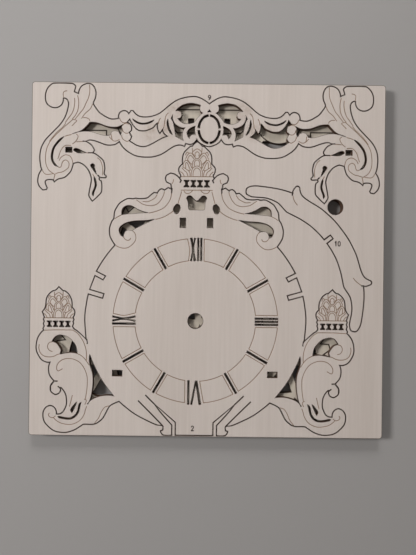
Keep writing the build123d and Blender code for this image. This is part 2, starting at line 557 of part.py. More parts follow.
def window(runs, middle):
    """A face with this edge, cut from the sketch that is open."""
    with BuildLine() as edge:
        walk(runs, middle)
    make_face(edge.edges(), mode=Mode.SUBTRACT)


def stroke(start, end, width, middle):
    """A straight slot with square ends between two places."""
    (start_x, start_y), (end_x, end_y) = placed((start, end), middle)
    run = math.hypot(end_x - start_x, end_y - start_y)
    turn = math.degrees(math.atan2(end_y - start_y, end_x - start_x))
    with Locations(((start_x + end_x) / 2, (start_y + end_y) / 2)):
        Rectangle(run, width, rotation=turn, mode=Mode.SUBTRACT)


def beyond(point, following, reach):
    """A place on a line before its first point."""
    back = (Vector(*point) - Vector(*following)).normalized() * reach
    return (point[0] + back.X, point[1] + back.Y)


def band(points, width):
    """Both sides of a line, each half a width from it, as one closed chain."""
    before = beyond(points[0], points[1], width)
    after = beyond(points[-1], points[-2], width)
    right = grown(points, before, after, width / 2)
    left = grown(points, before, after, -width / 2)
    return right, left


def tapered_slot(shares, middle, width):
    """A slot that runs out to a point at each end."""
    points = placed(shares, middle)
    right, left = band(points, width)
    with BuildLine() as edge:
        Polyline(points[0], *right[1:-1], points[-1], *left[-2:0:-1], close=True)
    make_face(edge.edges(), mode=Mode.SUBTRACT)


def open_slit(shares, middle):
    """A fine cut that starts just outside an edge and runs into the wood."""
    points = placed(shares, middle)
    points[0] = beyond(points[0], points[1], SLIT)
    right, left = band(points, SLIT)
    with BuildLine() as edge:
        Polyline(*right, *left[::-1], close=True)
    make_face(edge.edges(), mode=Mode.SUBTRACT)


def half_face(runs, middle, grow=0.0, flip=(-1, 1)):
    """Half a piece, closed along its middle line."""
    with BuildLine() as edge:
        points = walk(runs, middle, grow, flip)
        Line(points[-1], points[0])
    make_face(edge.edges())


def cut(points, grow=0.0, mode=Mode.ADD):
    """A face with straight sides round these corners, moved outwards by grow."""
    with BuildLine() as edge:
        Polyline(*grown(points, points[-1], points[0], grow), close=True)
    make_face(edge.edges(), mode=mode)


def waisted(width, height, waist):
    """One slot of a collar: two heads that meet in a narrow waist."""
    quarter = [(waist / 2, 0), (width / 2, height / 4), (width / 4, height / 2)]
    upper = quarter + [(-x, y) for x, y in quarter[::-1]]
    cut(upper + [(-x, -y) for x, y in upper[1:-1]])


def spot(shares, height=LOWER, turn=0.0):
    """The plane at a place on the board, at a height, turned about Z."""
    heading = Vector(1, 0, 0).rotate(Axis.Z, turn)
    return Plane(origin=(shares[0] * HALF, shares[1] * HALF, height), x_dir=heading)


def on_ring(radius, turn):
    return (radius * math.cos(math.radians(turn)), radius * math.sin(math.radians(turn)))


def regular(radius, sides):
    """The edge of a piece with equal sides as shares, one side level at the top."""
    half = 180 / sides
    return [on_ring(radius, 90 + half + side * 2 * half) for side in range(sides)]


def toothed(teeth):
    """A wheel's edge as shares: straight-flanked teeth of the common module."""
    tip = (teeth / 2 + 1) * MODULE_SHARE
    pitch = 360 / teeth
    shares = []
    for tooth in range(teeth):
        turn = tooth * pitch
        shares.append(on_ring(tip, turn - pitch * TIP_SHARE / 2))
        shares.append(on_ring(tip, turn + pitch * TIP_SHARE / 2))
        shares.append(on_ring(tip - TOOTH_DEPTH_SHARE, turn + pitch / 2))
    return shares


def sawtoothed(teeth, radius, depth):
    """A wheel's edge as shares, with leaning teeth: one radial side and one long back."""
    pitch = 360 / teeth
    shares = []
    for tooth in range(teeth):
        shares.append(on_ring(radius - depth, tooth * pitch))
        shares.append(on_ring(radius, tooth * pitch))
    return shares


def bar(length, width, corner):
    """A bar's edge as shares, with its four corners cut off."""
    right = [
        (length / 2 - corner, -width / 2),
        (length / 2, corner - width / 2),
        (length / 2, width / 2 - corner),
        (length / 2 - corner, width / 2),
    ]
    return right + [(-x, -y) for x, y in right]


def tabbed(length, width):
    """A strut's edge as shares, with a tab in the middle of each end for a mortise."""
    reach = length / 2 + SHEET / HALF
    tab = (LOWER_MORTISE[0] - PLAY) / HALF
    right = [
        (length / 2, -width / 2),
        (length / 2, -tab / 2),
        (reach, -tab / 2),
        (reach, tab / 2),
        (length / 2, tab / 2),
        (length / 2, width / 2),
    ]
    return right + [(-x, -y) for x, y in right]


def hand(length):
    """A hand's edge as shares, pointing along X."""
    half = [(x * length, y * length) for x, y in HAND_EDGE_SHARES]
    return [(length, 0), *half, *[(x, -y) for x, y in half[::-1]]]


def anchor(span):
    """The pallets' edge as shares, with their pivot at the origin."""
    half = [(x * span, y * span) for x, y in PALLETS_EDGE_SHARES]
    return half + [(-x, y) for x, y in half[::-1]]


def spoked(inside_rim, spokes, turn):
    """Windows between the hub and the rim, with straight sides."""
    near = math.degrees(math.asin(SPOKE_SHARE / 2 / WHEEL_HUB_SHARE))
    far = math.degrees(math.asin(SPOKE_SHARE / 2 / inside_rim))
    for spoke in range(spokes):
        start = turn + spoke * 360 / spokes
        end = start + 360 / spokes
        shares = [
            on_ring(WHEEL_HUB_SHARE, start + near),
            on_ring(inside_rim, start + far),
            on_ring(inside_rim, (start + end) / 2),
            on_ring(inside_rim, end - far),
            on_ring(WHEEL_HUB_SHARE, end - near),
        ]
        cut(placed(shares, 0), mode=Mode.SUBTRACT)


def axle_holes(apart=0.0):
    """A square axle hole, or two of them that are this far apart."""
    with GridLocations(apart, 0, 2 if apart else 1, 1):
        Rectangle(AXLE, AXLE, mode=Mode.SUBTRACT)


CREST_MIDDLE = CREST_MIDDLE_SHARE * HALF
DIAL_MIDDLE = DIAL_MIDDLE_SHARE * HALF
CREST_PLANE = Plane(origin=(CREST_MIDDLE, 0, UPPER))
DIAL_PLANE = Plane(origin=(DIAL_MIDDLE, 0, UPPER))
HUB_Y = HUB_SHARES[1] * HALF
HOUR_BAR = (HOUR_OUT_SHARE - HOUR_IN_SHARE) * HALF

# Cartouche of the crest: an oval ring of four slots, between tabs.
with BuildSketch() as cartouche:
    for quarter in range(4):
        ring = []
        for side in (OVAL_SLOT / 2, -OVAL_SLOT / 2):
            turns = [90 * quarter + OVAL_TAB + step * OVAL_STEP for step in range(OVAL_STEPS)]
            for turn in turns if side > 0 else turns[::-1]:
                x, y = on_ring(1, turn)
                width, height = (share * HALF + side for share in OVAL_HALF_SHARES)
                ring.append((x * width, y * height))
        cut(ring)

# One waisted slot of the collar under each pine cone.
with BuildSketch() as top_collar_slot:
    waisted(*TOP_COLLAR_SLOT)
with BuildSketch() as side_collar_slot:
    waisted(*SIDE_COLLAR_SLOT)

with BuildPart() as crest:
    with BuildSketch(CREST_PLANE):
        half_face(CREST_EDGE_SHARES, CREST_MIDDLE_SHARE)
        for runs in (
            CREST_LONG_WINDOW_SHARES,
            CREST_COMMA_SHARES,
            CREST_DROP_SHARES,
            SWAG_SHARES,
            CREST_SIDE_WINDOW_SHARES,
            CREST_UPPER_WINDOW_SHARES,
            CREST_SMALL_WINDOW_SHARES,
            CREST_TRIANGLE_SHARES,
        ):
            window(runs, CREST_MIDDLE_SHARE)
        for shares in CREST_SLIT_SHARES:
            open_slit(shares, CREST_MIDDLE_SHARE)
        tapered_slot(CREST_CRESCENT_SHARES, CREST_MIDDLE_SHARE, CRESCENT_SLOT)
        tapered_slot(CREST_LEAF_SHARES, CREST_MIDDLE_SHARE, LEAF_SLOT)
        tapered_slot(CREST_LEAF_2_SHARES, CREST_MIDDLE_SHARE, LEAF_SLOT)
        tapered_slot(CREST_SWAG_SLIT_SHARES, CREST_MIDDLE_SHARE, SWAG_SLOT)
        with Locations(placed([CREST_MORTISE_SHARES], CREST_MIDDLE_SHARE)):
            Rectangle(*CREST_MORTISE, mode=Mode.SUBTRACT)
        mirror(about=Plane.YZ)
        with Locations((0, OVAL_SHARES[1] * HALF)):
            add(cartouche.sketch, mode=Mode.SUBTRACT)
    extrude(amount=SHEET)
crest.part.label = "crest"

# The waste that still stands in the crest's left swag window.
with BuildPart() as swag_waste:
    with BuildSketch(CREST_PLANE):
        with BuildLine() as edge:
            walk(SWAG_SHARES, CREST_MIDDLE_SHARE)
        make_face(edge.edges())
        offset(amount=-KERF, kind=Kind.INTERSECTION, mode=Mode.REPLACE)
    extrude(amount=SHEET)
swag_waste.part.label = "swag_waste"

with BuildPart() as dial_plate:
    with BuildSketch(DIAL_PLANE):
        half_face(DIAL_TOP_SHARES + DIAL_SIDE_SHARES, DIAL_MIDDLE_SHARE)
        for runs in (
            DIAL_HALF_MOON_SHARES,
            DIAL_LEAF_SHARES,
            DIAL_EYE_SHARES,
            DIAL_HEART_SHARES,
            DIAL_LOWER_WINDOW_SHARES,
            DIAL_DROP_SHARES,
            DIAL_TRIANGLE_SHARES,
        ):
            window(runs, DIAL_MIDDLE_SHARE)
        for shares in DIAL_SLIT_SHARES:
            open_slit(shares, DIAL_MIDDLE_SHARE)
        open_slit(DIAL_TRIANGLE_SLIT_SHARES, DIAL_MIDDLE_SHARE)
        tapered_slot(DIAL_LONG_SLIT_SHARES, DIAL_MIDDLE_SHARE, CRESCENT_SLOT)
        with Locations(placed([UPPER_MORTISE_SHARES], DIAL_MIDDLE_SHARE)):
            Rectangle(*UPPER_MORTISE, mode=Mode.SUBTRACT)
        with Locations(placed([LOWER_MORTISE_SHARES], DIAL_MIDDLE_SHARE)):
            Rectangle(*LOWER_MORTISE, mode=Mode.SUBTRACT)
        with Locations(placed(SIDE_COLLAR_SHARES, DIAL_MIDDLE_SHARE)):
            add(side_collar_slot.sketch, mode=Mode.SUBTRACT)
        mirror(about=Plane.YZ)
        with Locations(placed(TOP_COLLAR_SHARES, DIAL_MIDDLE_SHARE)):
            add(top_collar_slot.sketch, mode=Mode.SUBTRACT)
        with Locations((0, HUB_Y)):
            Circle(HUB_BORE / 2, mode=Mode.SUBTRACT)
            for quarter in range(4):
                with PolarLocations(
                    (HOUR_IN_SHARE + HOUR_OUT_SHARE) / 2 * HALF,
                    2,
                    start_angle=90 * quarter + 30,
                    angular_range=60,
                ):
                    Rectangle(HOUR_BAR, BAR, mode=Mode.SUBTRACT)
        for start, end, width in NUMERAL_SHARES:
            stroke(start, end, width, DIAL_MIDDLE_SHARE)
    extrude(amount=SHEET)
dial_plate.part.label = "dial_plate"

with BuildPart() as side_arm:
    with BuildSketch(spot(ARM_SHARES, UPPER, ARM_TURN)):
        half_face(ARM_EDGE_SHARES, 0, flip=(1, -1))
        open_slit(ARM_SLIT_SHARES, 0)
        mirror(about=Plane.XZ)
        Rectangle(*ARM_NOTCH, align=(Align.MIN, Align.CENTER), mode=Mode.SUBTRACT)
    extrude(amount=SHEET)
side_arm.part.label = "side_arm"

# The openings that the three pieces stand in: their own edges, moved out by the cut's width.
with BuildSketch(Plane(origin=(CREST_MIDDLE, 0, LOWER))) as crest_opening:
    half_face(CREST_EDGE_SHARES, CREST_MIDDLE_SHARE, grow=KERF)
    mirror(about=Plane.YZ)
with BuildSketch(Plane(origin=(DIAL_MIDDLE, 0, LOWER))) as dial_opening:
    half_face(DIAL_TOP_SHARES + DIAL_SIDE_SHARES, DIAL_MIDDLE_SHARE, grow=KERF)
    mirror(about=Plane.YZ)
with BuildSketch(spot(ARM_SHARES, LOWER, ARM_TURN)) as arm_opening:
    half_face(ARM_EDGE_SHARES, 0, grow=-KERF, flip=(1, -1))
    mirror(about=Plane.XZ)
    with Locations((ARM_NOTCH[0] - KERF, 0)):
        Rectangle(
            ARM_NOTCH[0] + KERF,
            ARM_NOTCH[1] - 2 * KERF,
            align=(Align.MAX, Align.CENTER),
            mode=Mode.SUBTRACT,
        )

with BuildPart() as top_sheet_frame:
    with BuildSketch(Plane.XY.offset(UPPER)):
        RectangleRounded(BOARD, BOARD, CORNER)
        add(crest_opening.sketch, mode=Mode.SUBTRACT)
        add(dial_opening.sketch, mode=Mode.SUBTRACT)
        add(arm_opening.sketch, mode=Mode.SUBTRACT)
        with Locations(placed([CONE_CHIP_SHARES], 0)):
            Circle(CONE_CHIP_SHARE * HALF / 2, mode=Mode.SUBTRACT)
        with Locations(placed([ROUND_HOLE_SHARES], 0)):
            Circle(ROUND_HOLE / 2, mode=Mode.SUBTRACT)
    extrude(amount=SHEET)
top_sheet_frame.part.label = "top_sheet_frame"

# The second sheet: each piece's edge and place.
ESCAPE_EDGE = sawtoothed(ESCAPE_TEETH, *ESCAPE_SIZE_SHARES)
RATCHET_EDGE = sawtoothed(RATCHET_TEETH, *RATCHET_SIZE_SHARES)
SPACER_EDGE = regular(SPACER_SIZE_SHARE, SPACER_SIDES)
FLANGE_EDGE = regular(FLANGE_SIZE_SHARE, FLANGE_SIDES)
CLICK_EDGE = [(x * CLICK_SIZE_SHARE, y * CLICK_SIZE_SHARE) for x, y in CLICK_EDGE_SHARES]
PLAIN_PIECES = {
    **{label: (toothed(PINION_TEETH), shares) for label, shares in PINIONS.items()},
    **{label: (FLANGE_EDGE, shares) for label, shares in FLANGES.items()},
    **{label: (SPACER_EDGE, shares) for label, shares in SPACERS.items()},
    **{label: (hand(length), shares) for label, (length, shares) in HANDS.items()},
    "ratchet_wheel": (RATCHET_EDGE, RATCHET_SHARES),
    "pallets": (anchor(PALLETS_SIZE_SHARE), PALLETS_SHARES),
    "click": (CLICK_EDGE, CLICK_SHARES),
}
lower_pieces = []
openings = list(PLAIN_PIECES.values())

for label, (edge_shares, shares) in PLAIN_PIECES.items():
    with BuildPart() as piece:
        with BuildSketch(spot(shares)):
            cut(placed(edge_shares, 0))
            axle_holes()
        extrude(amount=SHEET)
    piece.part.label = label
    lower_pieces.append(piece)

for label, (teeth, spokes, turn, shares) in WHEELS.items():
    inside_rim = (teeth / 2 + 1) * MODULE_SHARE - TOOTH_DEPTH_SHARE - RIM_SHARE
    with BuildPart() as wheel:
        with BuildSketch(spot(shares)):
            cut(placed(toothed(teeth), 0))
            spoked(inside_rim, spokes, turn)
            axle_holes()
        extrude(amount=SHEET)
    wheel.part.label = label
    lower_pieces.append(wheel)
    openings.append((toothed(teeth), shares))

with BuildPart() as escape_wheel:
    with BuildSketch(spot(ESCAPE_SHARES)):
        cut(placed(ESCAPE_EDGE, 0))
        spoked(ESCAPE_SIZE_SHARES[0] - ESCAPE_SIZE_SHARES[1] - RIM_SHARE, ESCAPE_SPOKES, 0)
        axle_holes()
    extrude(amount=SHEET)
escape_wheel.part.label = "escape_wheel"
lower_pieces.append(escape_wheel)
openings.append((ESCAPE_EDGE, ESCAPE_SHARES))

BARS = {
    "back_bridge": (bar(*BRIDGE_SIZE_SHARES), BRIDGE_SHARES, BRIDGE_HOLES_SHARE * HALF),
    "pendulum_rod": (bar(*ROD_SIZE_SHARES), ROD_SHARES, ROD_HOLES_SHARE * HALF),
}
for label, (edge_shares, shares, apart) in BARS.items():
    with BuildPart() as holed_bar:
        with BuildSketch(spot(shares)):
            cut(placed(edge_shares, 0))
            axle_holes(apart)
        extrude(amount=SHEET)
    holed_bar.part.label = label
    lower_pieces.append(holed_bar)
    openings.append((edge_shares, shares))

STRUT_EDGE = tabbed(*STRUT_SIZE_SHARES)
for label, shares in STRUTS.items():
    with BuildPart() as strut:
        with BuildSketch(spot(shares)):
            cut(placed(STRUT_EDGE, 0))
        extrude(amount=SHEET)
    strut.part.label = label
    lower_pieces.append(strut)
    openings.append((STRUT_EDGE, shares))

# The bob's slot takes the rod.
BOB_EDGE = regular(BOB_SIZE_SHARE, BOB_SIDES)
with BuildPart() as pendulum_bob:
    with BuildSketch(spot(BOB_SHARES)):
        cut(placed(BOB_EDGE, 0))
        Rectangle(ROD_SIZE_SHARES[1] * HALF + 2 * PLAY, SHEET + PLAY, mode=Mode.SUBTRACT)
    extrude(amount=SHEET)
pendulum_bob.part.label = "pendulum_bob"
lower_pieces.append(pendulum_bob)
openings.append((BOB_EDGE, BOB_SHARES))

# Each piece stands in an opening of its own edge, moved out by the cut's width.
with BuildPart() as lower_sheet_frame:
    with BuildSketch(Plane.XY.offset(LOWER)):
        RectangleRounded(BOARD, BOARD, CORNER)
        for edge_shares, shares in openings:
            moved = [(x + shares[0], y + shares[1]) for x, y in edge_shares]
            cut(placed(moved, 0), KERF, Mode.SUBTRACT)
        with Locations(placed([ROUND_HOLE_SHARES], 0)):
            Circle(ROUND_HOLE / 2, mode=Mode.SUBTRACT)
        x_share, y_share = FLANGE_WINDOW_SHARES
        moved = [(x + x_share, y + y_share) for x, y in bar(*FLANGE_WINDOW_SIZE_SHARES)]
        cut(placed(moved, 0), mode=Mode.SUBTRACT)
    extrude(amount=SHEET)
lower_sheet_frame.part.label = "lower_sheet_frame"

os.makedirs("parts", exist_ok=True)
upper_pieces = [crest, swag_waste, dial_plate, side_arm]
for node in (top_sheet_frame, lower_sheet_frame, *upper_pieces, *lower_pieces):
    export_step(node.part, "parts/" + node.part.label + ".step")
    print(node.part.label, len(node.solids()), round(node.part.volume), len(node.faces()))
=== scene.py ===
import math

import bpy
import numpy as np
from mathutils import Euler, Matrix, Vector
from mathutils.geometry import delaunay_2d_cdt


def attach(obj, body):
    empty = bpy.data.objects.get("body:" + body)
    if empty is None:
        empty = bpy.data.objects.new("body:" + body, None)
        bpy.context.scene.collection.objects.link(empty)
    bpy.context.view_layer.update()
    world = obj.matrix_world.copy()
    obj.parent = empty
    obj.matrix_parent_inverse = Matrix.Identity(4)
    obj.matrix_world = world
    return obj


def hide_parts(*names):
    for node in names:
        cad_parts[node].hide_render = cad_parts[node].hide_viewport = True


# Two laser-cut plywood sheets with a gear clock's pieces in them, lying on a pale table.
# Points and sizes are millimetres on the board, X to the right and Y up, from its middle,
# where no comment says otherwise.

MM = 0.001

# Heights of the sheets' faces, and the nodes that the upper sheet is cut into.
LOW, MIDDLE, HIGH = 0.0, 2.9, 5.8
UPPER = ("crest", "dial_plate", "side_arm", "swag_waste", "top_sheet_frame")

# How far a cut burns the wood beside it, and the strokes of scored lines and numbers.
SCORCH = 0.34
SCORE_WIDTH = 0.62
SCORE_DEPTH = 0.16
MARK_WIDTH = 0.9
DIGIT_STEP = 1.7
DIGIT_HEIGHT = 2.6

# The ornament's mirror axes, the dial's hub, the pine cones, and the chapter ring's radii.
CREST_AXIS = 0.3
DIAL_AXIS = -6.3
HUB = (-6.3, -34.5)
TOP_CONE = (-6.3, 47.2)
TOP_CONE_SIZE = 1.1
SIDE_CONE = (-83.7, -33.6)
SIDE_CONE_SIZE = 1.0
RING = (34.2, 46.6)

# Curves: steps between two points of a line, and the length of an arc's steps.
CURVE_STEPS = 4
ARC_STEP = 1.6

# Edges: corners that turn by fewer degrees than this are rounded, and sides longer than
# SHORT_SIDE bulge, in more steps where they are longer than LONG_SIDE.
SMOOTH_TURN = 40
BULGE = 0.2
SHORT_SIDE = 2 * BULGE
LONG_SIDE = 8 * BULGE
SHORT_STEPS, LONG_STEPS = 2, 4

# A collar's slot is known by its corners and its length. One side of it is given as shares
# of half its width and height.
SLOT_CORNERS = 10
SLOT_REACH = 4.2
SLOT_SIDE = [(1, 1), (1, 0.78), (0.42, 0.4), (0.42, -0.4), (1, -0.78), (1, -1)]

# Distances are worked out cell by cell, and only up to REACH. Corners within LEVEL of a
# height lie on it, points within MERGE of each other become one, and no run is divided by
# less than TINY.
CELL = 5.0
REACH = 1.0
LEVEL = 0.01
MERGE = 1e-4
TINY = 1e-9

# Colours of the plies, palest and darkest, of their cut walls, darkest and palest, and of
# the table. The table's size, and how far it lies under the sheets, are in metres.
TOP_PLY = (0.545, 0.478, 0.436), (0.480, 0.415, 0.372)
# The lower ply is the same wood as the top one. Its colours are painted darker and yellower as
# shade under the top sheet.
SHADED_LOWER_PLY = (0.510, 0.450, 0.375), (0.430, 0.374, 0.305)
CUT_WALL = (0.030, 0.014, 0.008), (0.120, 0.062, 0.034)
TABLE = (0.298, 0.283, 0.274)
TABLE_SIZE = 3
TABLE_DROP = 0.00005

PLY_ROUGHNESS, WALL_ROUGHNESS, TABLE_ROUGHNESS = 0.62, 0.8, 0.7
BUMP_STRENGTH, BUMP_DISTANCE = 0.12, 0.0001

# The fields of a mesh that the laser burnt: the burn's colour, and the values at which it
# starts and is full.
BURNS = {
    "score": ((0.190, 0.112, 0.062), 0.0, 0.70),
    "burnt": ((0.030, 0.016, 0.010), 0.05, 0.70),
}

# Noise scales per metre along X, Y and Z, and the noise values between which each one shows.
FINE_GRAIN = (900, 26, 900)
BROAD_GRAIN = (55, 5, 55)
BROAD_SHARE = 0.55
GRAIN_RANGE = (0.3, 0.66)
WALL_STREAKS = (2200, 2200, 240)
SMOKE_PATCHES = (420, 420, 420)
SMOKE_RANGE = (0.28, 0.78)

# The laser's smoke round the crest's tassels: its middles, how far it reaches, its strength.
TASSELS = ((-25.0, 73.0), (25.6, 73.0), (-19.0, 84.5), (19.6, 84.5), (-33.5, 72.0), (34.1, 72.0))
SMOKE_REACH = 8.0
SMOKE_STRENGTH = 0.62
SMOKE_COLOUR = (0.235, 0.150, 0.095)

# Lamps: place and target in metres, watts, size in metres and spread in degrees.
LAMPS = {
    "window": ((-1.18, 0.26, 0.94), (0, 0, 0), 19.0, 0.32, 180),
    "door": ((0, 1.1, 0.62), (0, 0.22, 0), 0.78, 0.4, 50),
}
ROOM_COLOUR = (1.0, 0.975, 0.94)
ROOM_STRENGTH = 0.20

# Camera: place in metres, turn and upright field of view in degrees, nearest metre seen.
CAMERA_PLACE = (0.0006, -0.0098, 0.2708)
CAMERA_TURN = 0.65
CAMERA_FIELD = 61.3
CAMERA_CLIP = 0.01

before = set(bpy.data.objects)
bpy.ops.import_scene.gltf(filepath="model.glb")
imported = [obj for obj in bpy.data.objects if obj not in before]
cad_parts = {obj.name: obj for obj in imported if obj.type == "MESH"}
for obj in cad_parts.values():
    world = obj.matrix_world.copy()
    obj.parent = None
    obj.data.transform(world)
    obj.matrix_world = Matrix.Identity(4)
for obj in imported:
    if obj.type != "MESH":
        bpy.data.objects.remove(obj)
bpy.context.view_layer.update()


def spline(points):
    """A smooth line through the points."""
    p = [np.array(q, float) for q in points]
    if len(p) < 3:
        return p
    out = []
    ends = [2 * p[0] - p[1]] + p + [2 * p[-1] - p[-2]]
    for i in range(1, len(ends) - 2):
        a, b, c, d = ends[i - 1 : i + 3]
        slope = c - a
        bend = 2 * a - 5 * b + 4 * c - d
        twist = 3 * b - a - 3 * c + d
        for k in range(CURVE_STEPS):
            t = k / CURVE_STEPS
            out.append(0.5 * (2 * b + slope * t + bend * t * t + twist * t**3))
    out.append(p[-1])
    return out


def arc(middle, radius, start, end):
    """Points of an arc between two angles in degrees."""
    count = max(2, int(abs(end - start) * math.pi * radius / 180 / ARC_STEP) + 2)
    turns = np.radians(np.linspace(start, end, count))
    return [(middle[0] + radius * math.cos(t), middle[1] + radius * math.sin(t)) for t in turns]


def mirrored(lines, axis):
    """The lines, and the same lines on the other side of an upright axis."""
    return lines + [[(2 * axis - x, y) for x, y in line] for line in lines]


# Scored lines of the crest's left half: acanthus corner, volute, tail, beads and swag.
CREST_LEFT = [
    [(-80.3, 94.9), (-81.3, 94.8), (-82.3, 94.1), (-82.5, 92.8), (-82.1, 90.9)],
    [(-76.0, 90.9), (-75.9, 88.3), (-76.4, 84.9), (-77.5, 82.0), (-79.2, 79.7), (-81.1, 77.0)],
    [(-74.3, 92.4), (-73.7, 89.5), (-73.7, 86.6), (-74.2, 83.8), (-75.5, 81.1), (-77.2, 79.0)],
    [(-67.6, 98.5), (-67.5, 94.5), (-68.1, 91.3), (-69.5, 88.1), (-70.9, 85.0), (-73.2, 82.0),
     (-75.5, 79.1)],
    [(-65.7, 87.6), (-67.2, 84.7), (-69.8, 82.4), (-71.9, 79.5)],
    [(-76.9, 78.8), (-75.9, 78.7), (-74.6, 78.1), (-75.4, 77.2), (-77.3, 75.2)],
    [(-70.9, 79.9), (-69.2, 79.8), (-67.7, 79.1), (-67.3, 78.1)],
    [(-76.9, 78.8), (-79.4, 76.5), (-82.0, 74.2), (-84.5, 71.8), (-87.1, 69.2), (-89.3, 66.6),
     (-91.0, 63.4), (-91.8, 60.5), (-92.1, 57.7)],
    [(-80.9, 76.5), (-82.8, 74.1), (-85.7, 71.5), (-88.2, 68.6), (-89.9, 66.3)],
    [(-77.7, 70.2), (-79.4, 69.8), (-81.1, 69.2)],
    [(-74.8, 70.5), (-73.8, 69.6), (-74.1, 68.0), (-75.3, 66.2), (-76.9, 64.9)],
    [(-74.6, 66.1), (-72.5, 66.3), (-70.5, 66.4)],
    [(-77.9, 64.0), (-80.5, 64.1), (-82.2, 63.0), (-83.6, 60.8), (-84.4, 58.3), (-85.1, 56.5)],
    [(-92.1, 57.7), (-92.0, 54.8), (-91.4, 52.2), (-90.1, 49.9), (-88.3, 48.5), (-86.6, 47.5)],
    [(-93.8, 49.9), (-93.0, 48.5), (-91.8, 47.6), (-89.8, 47.6), (-87.8, 48.0)],
    [(-86.6, 47.4), (-87.0, 46.0), (-87.3, 44.4)],
    [(-84.3, 55.5), (-83.6, 56.9), (-82.2, 58.1), (-80.5, 58.7), (-78.4, 58.1), (-77.3, 56.7),
     (-76.8, 55.0), (-76.5, 53.7)],
    [(-85.0, 51.9), (-83.8, 51.6), (-83.0, 52.6), (-82.6, 54.3), (-81.6, 55.5), (-80.4, 55.7),
     (-79.1, 54.7), (-78.7, 53.3), (-79.1, 51.5), (-80.7, 50.1), (-82.6, 49.0), (-84.6, 48.6),
     (-86.3, 48.0)],
    [(-62.7, 57.2), (-61.3, 56.1), (-60.3, 54.1), (-59.7, 51.8), (-59.6, 49.5), (-59.8, 47.5)],
    [(-70.5, 60.3), (-68.5, 59.9), (-66.5, 59.9)],
    [(-64.2, 46.3), (-64.8, 47.1), (-65.2, 48.0)],
    [(-50.4, 79.8), (-49.9, 78.6), (-48.8, 77.5), (-47.5, 77.2), (-46.1, 77.6), (-45.1, 78.7)],
    [(-48.7, 75.6), (-47.7, 76.7), (-46.3, 76.9), (-45.0, 76.4)],
    [(-48.8, 74.0), (-48.4, 72.5), (-47.3, 71.5), (-46.1, 71.3), (-44.8, 71.7)],
    [(-49.2, 70.0), (-48.6, 68.3), (-47.3, 67.2), (-46.2, 66.7), (-45.0, 67.0)],
    [(-56.1, 69.2), (-55.3, 68.2), (-54.3, 67.3)],
    [(-55.1, 70.5), (-54.8, 69.0), (-54.3, 67.3), (-52.5, 66.8), (-50.5, 67.7)],
    [(-27.3, 80.1), (-28.1, 78.7), (-28.5, 76.7)],
    [(-22.9, 83.1), (-24.1, 81.6), (-24.6, 79.6), (-24.9, 77.3), (-25.3, 74.7)],
]

# Scored lines of the dial's left half: collars, lower scrolls, then the shoulder's leaves.
DIAL_LEFT = [
    [(-15.2, 39.5), (-6.3, 39.5)],
    [(-13.6, 39.2), (-12.8, 38.0), (-11.5, 37.6), (-10.0, 38.0), (-8.5, 39.4)],
    [(-19.5, 45.5), (-19.7, 44.0), (-20.3, 43.2)],
    [(-91.6, -40.7), (-87.9, -40.5), (-83.3, -40.4), (-75.6, -40.4)],
    [(-75.6, -40.4), (-72.8, -42.3), (-70.1, -45.8), (-68.5, -49.3), (-67.7, -53.1),
     (-67.7, -57.4)],
    [(-94.4, -48.7), (-94.6, -51.0), (-93.6, -53.7), (-91.6, -55.3), (-88.9, -55.8),
     (-86.2, -55.4), (-84.3, -54.4), (-83.0, -54.0)],
    [(-87.1, -47.3), (-88.6, -47.5), (-89.6, -49.0), (-89.6, -50.6), (-88.6, -52.1),
     (-87.0, -52.6)],
    [(-72.7, -53.8), (-70.8, -54.7), (-68.5, -56.7), (-66.1, -60.1)],
    [(-81.2, -62.4), (-83.5, -63.6), (-84.4, -62.6), (-84.3, -60.7), (-83.1, -58.7),
     (-80.8, -57.1), (-77.7, -56.5), (-74.3, -57.1), (-71.1, -59.0), (-68.8, -62.1),
     (-67.2, -66.4), (-67.0, -70.7), (-67.3, -75.0), (-68.0, -79.2)],
    [(-68.6, -79.4), (-67.7, -79.8), (-67.5, -80.8), (-68.2, -82.4)],
    [(-67.2, -83.5), (-68.0, -85.9), (-68.5, -87.8), (-70.1, -90.6), (-72.4, -92.5),
     (-75.5, -93.7), (-78.5, -93.8), (-82.0, -93.0), (-84.4, -91.6), (-85.9, -90.1)],
    [(-88.3, -87.5), (-88.8, -88.5), (-88.0, -89.7), (-86.3, -90.1), (-84.8, -89.1)],
    [(-75.4, -77.3), (-76.0, -80.1), (-76.9, -83.6)],
    [(-54.7, -83.1), (-57.0, -83.9), (-58.9, -86.6), (-60.4, -90.1), (-62.7, -93.1)],
    [(-28.7, 36.7), (-29.8, 35.0), (-31.5, 33.8), (-34.1, 32.7), (-36.7, 32.8)],
    [(-24.5, 38.6), (-25.2, 36.2), (-26.6, 33.6), (-28.6, 31.5), (-31.5, 30.5), (-34.6, 30.7),
     (-37.0, 31.4), (-40.4, 33.7)],
    [(-20.4, 38.2), (-21.0, 34.8), (-22.3, 32.2), (-24.6, 29.5), (-27.7, 27.8), (-31.2, 26.7),
     (-33.2, 26.3)],
    [(-14.9, 38.6), (-15.6, 36.0), (-16.4, 33.1), (-16.8, 31.4)],
    [(-19.4, 27.7), (-21.4, 26.1), (-23.9, 24.6), (-27.1, 23.3), (-29.4, 22.7)],
    [(-52.6, 22.8), (-50.9, 23.9), (-48.4, 25.2)],
    [(-51.6, 7.6), (-49.6, 6.7), (-47.0, 6.2), (-44.5, 6.8), (-42.2, 8.6), (-40.6, 10.9),
     (-40.5, 13.2), (-41.1, 14.9), (-42.3, 16.1)],
    [(-47.4, 12.5), (-46.5, 11.3), (-45.1, 10.7), (-43.9, 11.1), (-43.4, 12.0)],
]

